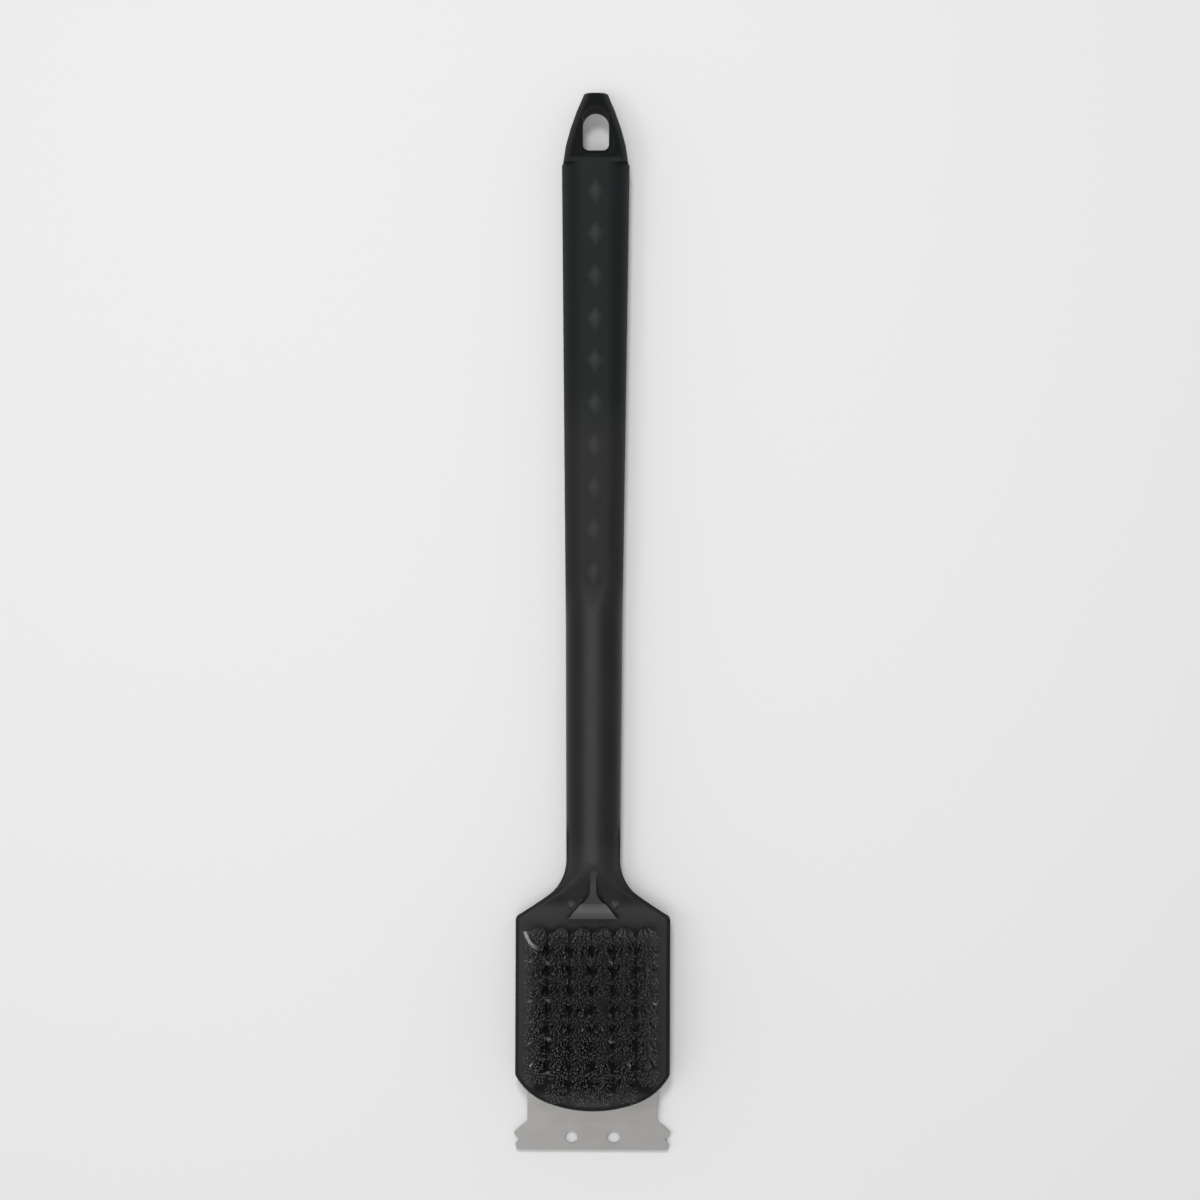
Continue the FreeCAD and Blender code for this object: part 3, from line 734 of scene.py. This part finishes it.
# Wires of one row of tufts
def make_wire_tree():
    tree, identifiers, start, end = new_wire_tree("row of wire tufts", [
        ("Tufts", "Int"),
        ("Wires per Tuft", "Int"),
        ("Points per Wire", "Int"),
        ("Wire Sides", "Int"),
        ("Wire Diameter", "Float"),
        ("First Tuft", "Vector"),
        ("Tuft Pitch", "Float"),
        ("Hole Radius", "Float"),
        ("Fan Width", "Float"),
        ("Fan Depth", "Float"),
        ("Lean", "Vector"),
        ("Side Splay", "Float"),
        ("Fold Height", "Float"),
        ("Face Height", "Float"),
        ("Tip Height", "Float"),
        ("Tip Unevenness", "Float"),
        ("Fan Power", "Float"),
        ("Fan Squareness", "Float"),
        ("Crimp Pitch", "Float"),
        ("Crimp Depth", "Float"),
        ("Seed", "Int"),
        ("Finish", "Material"),
    ])

    def chance(low, high, number, turn):
        """A number for each wire or tuft, with a turn of its own for each use, so that no two are alike."""
        seed = calc(tree, "ADD", start["Seed"], turn)
        inputs = {2: low, 3: high, 7: number, 8: seed}
        return place_node(tree, "FunctionNodeRandomValue", inputs, data_type="FLOAT").outputs[1]

    line = place_node(tree, "GeometryNodeCurvePrimitiveLine")
    divided = place_node(tree, "GeometryNodeResampleCurve", {
        "Curve": line.outputs["Curve"],
        "Count": start["Points per Wire"],
    })
    wire_count = calc(tree, "MULTIPLY", start["Tufts"], start["Wires per Tuft"])
    copies = place_node(tree, "GeometryNodeDuplicateElements", {
        "Geometry": divided.outputs["Curve"],
        "Amount": wire_count,
    }, domain="SPLINE")
    on_curve = place_node(tree, "GeometryNodeCurveOfPoint").outputs
    wire = on_curve["Curve Index"]
    step = on_curve["Index in Curve"]

    # Which tuft, and where in its hole: a sunflower layout fills the round hole evenly
    tuft = calc(tree, "FLOOR", calc(tree, "DIVIDE", wire, start["Wires per Tuft"]))
    place_in_tuft = calc(tree, "SUBTRACT", wire, calc(tree, "MULTIPLY", tuft, start["Wires per Tuft"]))
    filled = calc(tree, "DIVIDE", calc(tree, "ADD", place_in_tuft, 0.5), start["Wires per Tuft"])
    share = calc(tree, "SQRT", filled)
    start_turn = chance(0.0, math.tau, tuft, 11)
    golden_turn = calc(tree, "MULTIPLY", place_in_tuft, math.pi * (3.0 - math.sqrt(5.0)))
    angle = calc(tree, "ADD", calc(tree, "ADD", golden_turn, start_turn), chance(-0.3, 0.3, wire, 23))

    # How far along the wire above the head's face
    last_step = calc(tree, "SUBTRACT", start["Points per Wire"], 2.0)
    along = calc(tree, "MAXIMUM", calc(tree, "DIVIDE", calc(tree, "SUBTRACT", step, 1.0), last_step), 0.0)
    tip = calc(tree, "SUBTRACT", start["Tip Height"], chance(0.0, start["Tip Unevenness"], wire, 37))
    rise = calc(tree, "MULTIPLY", along, calc(tree, "SUBTRACT", tip, start["Face Height"]))
    above_face = calc(tree, "ADD", start["Face Height"], rise)
    in_hole = calc(tree, "LESS_THAN", step, 0.5)
    z = calc(tree, "ADD", calc(tree, "MULTIPLY", in_hole, start["Fold Height"]),
             calc(tree, "MULTIPLY", calc(tree, "SUBTRACT", 1.0, in_hole), above_face))

    # Fan of the tuft, and the crimp of each wire
    fan = calc(tree, "POWER", along, start["Fan Power"])
    root_radius = calc(tree, "MULTIPLY", start["Hole Radius"], share)
    corner = calc(tree, "POWER", calc(tree, "SINE", calc(tree, "MULTIPLY", angle, 2.0)), 2.0)
    cornered = calc(tree, "MULTIPLY", corner, start["Fan Squareness"])
    spread = calc(tree, "MULTIPLY", share, calc(tree, "ADD", cornered, chance(0.90, 1.06, wire, 41)))
    fold = calc(tree, "MULTIPLY", root_radius, calc(tree, "SUBTRACT", 1.0, fan))

    def fanned(turn, reach):
        out = calc(tree, "ADD", fold, calc(tree, "MULTIPLY", fan, calc(tree, "MULTIPLY", reach, spread)))
        return calc(tree, "MULTIPLY", out, calc(tree, turn, angle))

    crimp_angle = chance(0.0, math.tau, wire, 53)
    crimp_phase = chance(0.0, math.tau, wire, 67)
    turn_per_rise = calc(tree, "DIVIDE", math.tau, start["Crimp Pitch"])
    wave = calc(tree, "SINE", calc(tree, "MULTIPLY_ADD", rise, turn_per_rise, crimp_phase))
    crimp_growth = calc(tree, "MINIMUM", calc(tree, "MULTIPLY", along, 4.0), 1.0)
    sway = calc(tree, "MULTIPLY", wave, calc(tree, "MULTIPLY", crimp_growth, start["Crimp Depth"]))
    x_in_tuft = calc(tree, "ADD", fanned("COSINE", start["Fan Width"]),
                     calc(tree, "MULTIPLY", sway, calc(tree, "COSINE", crimp_angle)))
    y_in_tuft = calc(tree, "ADD", fanned("SINE", start["Fan Depth"]),
                     calc(tree, "MULTIPLY", sway, calc(tree, "SINE", crimp_angle)))
    tuft_x = calc(tree, "MULTIPLY", tuft, start["Tuft Pitch"])
    from_first = place_node(tree, "ShaderNodeCombineXYZ", {
        "X": calc(tree, "ADD", tuft_x, x_in_tuft),
        "Y": y_in_tuft,
        "Z": z,
    })

    # Tufts at the sides of the head splay outwards, more so the further out they stand
    last_tuft = calc(tree, "SUBTRACT", start["Tufts"], 1.0)
    side = calc(tree, "SUBTRACT", calc(tree, "DIVIDE", calc(tree, "MULTIPLY", tuft, 2.0), last_tuft), 1.0)
    bend = calc(tree, "POWER", along, 2.0)
    sideways = calc(tree, "MULTIPLY", side, calc(tree, "ABSOLUTE", side))
    splay = calc(tree, "MULTIPLY", sideways, calc(tree, "MULTIPLY", bend, start["Side Splay"]))
    outwards = place_node(tree, "ShaderNodeCombineXYZ", {"X": splay})
    leaning = place_node(tree, "ShaderNodeVectorMath", {0: start["Lean"], "Scale": bend}, operation="SCALE")
    bent = vector_calc(tree, "ADD", outwards.outputs["Vector"], leaning.outputs["Vector"])
    upright = vector_calc(tree, "ADD", start["First Tuft"], from_first.outputs["Vector"])
    position = vector_calc(tree, "ADD", upright, bent)
    placed = place_node(tree, "GeometryNodeSetPosition", {
        "Geometry": copies.outputs["Geometry"],
        "Position": position,
    })
    draw_wires(tree, start, end, placed.outputs["Geometry"])
    return tree, identifiers


wire_tree, wire_identifiers = make_wire_tree()


def make_tuft_row(row):
    names = sorted(name for name in nodes if name.startswith(f"tuft_row{row}_"))
    boxes = [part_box(name) for name in names]
    centres = [(low + high) / 2 for low, high in boxes]
    low, high = boxes[0]
    leaning = max(row - FIRST_LEANING_ROW, 0) / (TUFT_ROWS - FIRST_LEANING_ROW)
    lean_along = LEAN_AT_HANDLE + (LEAN_AT_TIP - LEAN_AT_HANDLE) * leaning
    piece = settle(f"wire_tufts_row{row}", bpy.data.meshes.new("wires"))
    piece = grow_wires(piece, wire_tree, wire_identifiers, {
        "Tufts": len(names),
        "Wires per Tuft": WIRES_PER_TUFT,
        "Points per Wire": WIRE_POINTS,
        "Wire Sides": WIRE_SIDES,
        "Wire Diameter": WIRE_DIAMETER,
        "First Tuft": (centres[0].x, centres[0].y, 0.0),
        "Tuft Pitch": (centres[-1].x - centres[0].x) / (len(names) - 1),
        "Hole Radius": HOLE_RADIUS - HOLE_CLEARANCE,
        "Fan Width": FAN_WIDTH,
        "Fan Depth": FAN_DEPTH,
        "Lean": (LEAN_SIDEWAYS, lean_along, 0.0),
        "Side Splay": SIDE_SPLAY,
        "Fold Height": low.z + FOLD_HEIGHT,
        "Face Height": HEAD_FACE - FAN_START_DEPTH,
        "Tip Height": high.z - WIRE_DIAMETER / 2,
        "Tip Unevenness": TIP_UNEVENNESS,
        "Fan Power": FAN_POWER,
        "Fan Squareness": FAN_SQUARENESS,
        "Crimp Pitch": CRIMP_PITCH,
        "Crimp Depth": CRIMP_DEPTH,
        "Seed": 100 * row,
        "Finish": bristle_wire,
    })
    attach(piece, "root")
    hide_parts(*names)


for row in range(1, TUFT_ROWS + 1):
    make_tuft_row(row)


# Wires that use has bent over: short bunches that lie across the tips
def make_bent_wire_tree():
    tree, identifiers, start, end = new_wire_tree("bent wires", [
        ("Paths", "Geometry"),
        ("Wires per Bunch", "Int"),
        ("Points per Wire", "Int"),
        ("Wire Sides", "Int"),
        ("Wire Diameter", "Float"),
        ("Spread", "Float"),
        ("Seed", "Int"),
        ("Finish", "Material"),
    ])
    copies = place_node(tree, "GeometryNodeDuplicateElements", {
        "Geometry": start["Paths"],
        "Amount": start["Wires per Bunch"],
    }, domain="SPLINE")
    divided = place_node(tree, "GeometryNodeResampleCurve", {
        "Curve": copies.outputs["Geometry"],
        "Count": start["Points per Wire"],
    })
    wire = place_node(tree, "GeometryNodeCurveOfPoint").outputs["Curve Index"]
    along = place_node(tree, "GeometryNodeSplineParameter").outputs["Factor"]
    reach = calc(tree, "MULTIPLY", start["Spread"], calc(tree, "POWER", along, 0.7))
    scatter = place_node(tree, "FunctionNodeRandomValue", {
        0: (-1.0, -1.0, -0.45),
        1: (1.0, 1.0, 0.45),
        7: wire,
        8: start["Seed"],
    }, data_type="FLOAT_VECTOR")
    shift = place_node(tree, "ShaderNodeVectorMath", {
        0: scatter.outputs[0],
        "Scale": reach,
    }, operation="SCALE")
    placed = place_node(tree, "GeometryNodeSetPosition", {
        "Geometry": divided.outputs["Curve"],
        "Offset": shift.outputs["Vector"],
    })
    draw_wires(tree, start, end, placed.outputs["Geometry"])
    return tree, identifiers


def bent_path(paths, points):
    spline = paths.splines.new("NURBS")
    spline.points.add(len(points) - 1)
    for point, place in zip(spline.points, points):
        point.co = (*place, 1.0)
    spline.use_endpoint_u = True
    spline.order_u = 4


def tuft_axis(row, column):
    low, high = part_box(f"tuft_row{row}_col{column}")
    return (low.x + high.x) / 2, (low.y + high.y) / 2


# Row and column of a tuft, direction in degrees in which a bunch of its wires leans, and its reach
STRAY_BUNCHES = [
    (2, 1, 204, 0.0060), (4, 1, 204, 0.0060), (5, 1, 210, 0.0054), (6, 1, 211, 0.0064), (7, 1, 225, 0.0068),
    (2, 1, 330, 0.0058), (4, 1, 339, 0.0054), (6, 1, 347, 0.0058), (6, 1, 352, 0.0060), (8, 1, 30, 0.0056),
    (8, 1, 22, 0.0060), (2, 4, 333, 0.0054), (6, 4, 328, 0.0056), (4, 6, 326, 0.0062), (7, 5, 300, 0.0056),
]

# How a stray bunch goes over: the share of its reach at each point, and how far below the tips that is
STRAY_SHAPE = [(0.0, 0.030), (0.12, 0.016), (0.35, 0.0043), (0.62, 0.0017), (1.0, 0.0013)]

# The pale bunch of one tuft. Each point is its place from the tuft's axis, its depth below the tips, and
# how much of the step between neighbouring wires it takes across and along the brush.
PALE_BUNCH_TUFT = (2, 1)
PALE_BUNCH_SHAPE = [
    (0.0, 0.0, 0.030, 0.0, 0.0),
    (0.0006, 0.0010, 0.017, 0.0, 0.0),
    (0.0018, 0.0030, 0.0066, 0.0, 1.0),
    (0.0008, 0.0046, 0.0021, 0.0, 1.0),
    (-0.0030, 0.0056, 0.0011, 0.0, 1.0),
    (-0.0064, 0.0090, 0.0011, -1.0, 1.0),
    (-0.0076, 0.0134, 0.0015, -0.5, 0.0),
]
PALE_BUNCH_STEPS = (-0.0008, -0.0004, 0.0, 0.0004, 0.0008)


def make_bent_paths():
    paths = bpy.data.curves.new("bent wires", "CURVE")
    paths.dimensions = "3D"
    paths.resolution_u = 6
    for row, column, degrees, reach in STRAY_BUNCHES:
        x, y = tuft_axis(row, column)
        reach_x = reach * math.cos(math.radians(degrees))
        reach_y = reach * math.sin(math.radians(degrees))
        bent_path(paths, [
            (x + share * reach_x, y + share * reach_y, TIP_HEIGHT - depth)
            for share, depth in STRAY_SHAPE
        ])
    x, y = tuft_axis(*PALE_BUNCH_TUFT)
    for step in PALE_BUNCH_STEPS:
        bent_path(paths, [
            (x + across + share_across * step, y + along + share_along * step, TIP_HEIGHT - depth)
            for across, along, depth, share_across, share_along in PALE_BUNCH_SHAPE
        ])
    return paths


def make_bent_wires():
    tree, identifiers = make_bent_wire_tree()
    piece = bpy.data.objects.new("bent_wires", make_bent_paths())
    bpy.context.scene.collection.objects.link(piece)
    piece = grow_wires(piece, tree, identifiers, {
        "Wires per Bunch": 6,
        "Points per Wire": 22,
        "Wire Sides": 5,
        "Wire Diameter": WIRE_DIAMETER,
        "Spread": 0.0006,
        "Seed": 7,
        "Finish": painted_glint_wire,
    })
    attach(piece, "root")


make_bent_wires()


# Floor, light and camera
FLOOR_REACH = 6.0
FLOOR_LEVEL = -0.0003
FLOOR_COLOUR = (0.72, 0.72, 0.72, 1)
WORLD_STRENGTH = 0.42
WORLD_SPREAD = 0.28
BRIGHTER_SKY = (-0.78, 0.5, 0.1)
CAMERA_PLACE = (0.0031, 0.2124, 1.25)
CAMERA_TURN = math.radians(0.21)
CAMERA_LENS = 69.33

# Name of each lamp, its place and aim, its size in metres and its watts
SOFTBOXES = [
    ("key softbox", (-0.12, 1.00, 1.9), (0.0, 0.2, 0.0), 0.36, 15.5),
    ("crest softbox", (-0.10, 0.0, 1.9), (0.0, 0.1, 0.0), 0.60, 6.8),
    ("left softbox", (-0.84, 0.0, 1.8), (0.0, 0.1, 0.0), 0.70, 5.0),
    ("wide ceiling", (0.0, 0.2, 2.6), (0.0, 0.2, 0.0), 3.0, 9.0),
]


def make_floor():
    mesh = bpy.data.meshes.new("floor")
    signs = ((-1, -1), (1, -1), (1, 1), (-1, 1))
    corners = [(x * FLOOR_REACH, y * FLOOR_REACH, FLOOR_LEVEL) for x, y in signs]
    mesh.from_pydata(corners, [], [(0, 1, 2, 3)])
    finish, _, shader, _ = new_finish("pale floor")
    shader.inputs["Base Color"].default_value = FLOOR_COLOUR
    shader.inputs["Roughness"].default_value = 0.8
    shader.inputs["Specular IOR Level"].default_value = 0.1
    floor = settle("floor", mesh, finish)


def softbox(name, place, aim, size, watts):
    lamp = bpy.data.lights.new(name, "AREA")
    lamp.shape = "DISK"
    lamp.size = size
    lamp.energy = watts
    holder = bpy.data.objects.new(name, lamp)
    bpy.context.scene.collection.objects.link(holder)
    holder.location = place
    holder.rotation_euler = (Vector(aim) - Vector(place)).to_track_quat("-Z", "Y").to_euler()


def make_world():
    """A plain sky, a little brighter on one side."""
    world = bpy.data.worlds.new("studio")
    bpy.context.scene.world = world
    world.use_nodes = True
    background = world.node_tree.nodes["Background"]
    tree = world.node_tree
    direction = place_node(tree, "ShaderNodeTexCoord").outputs["Generated"]
    towards = vector_calc(tree, "DOT_PRODUCT", direction, BRIGHTER_SKY)
    dimmest = WORLD_STRENGTH * (1.0 - WORLD_SPREAD)
    brightest = WORLD_STRENGTH * (1.0 + WORLD_SPREAD)
    glow = spread_range(tree, towards, -1.0, 1.0, dimmest, brightest)
    tree.links.new(glow, background.inputs["Strength"])
    background.inputs["Color"].default_value = (1, 1, 1, 1)


def make_camera():
    """The camera looks straight down. Its small turn is the lean of the brush in the photograph."""
    camera_data = bpy.data.cameras.new("camera")
    camera_data.sensor_width = 36.0
    camera_data.lens = CAMERA_LENS
    camera = bpy.data.objects.new("camera", camera_data)
    camera.location = CAMERA_PLACE
    camera.rotation_euler = (0.0, 0.0, CAMERA_TURN)
    bpy.context.scene.collection.objects.link(camera)
    bpy.context.scene.camera = camera


make_floor()
make_world()
for lamp in SOFTBOXES:
    softbox(*lamp)
make_camera()
bpy.context.scene.view_settings.view_transform = "Standard"
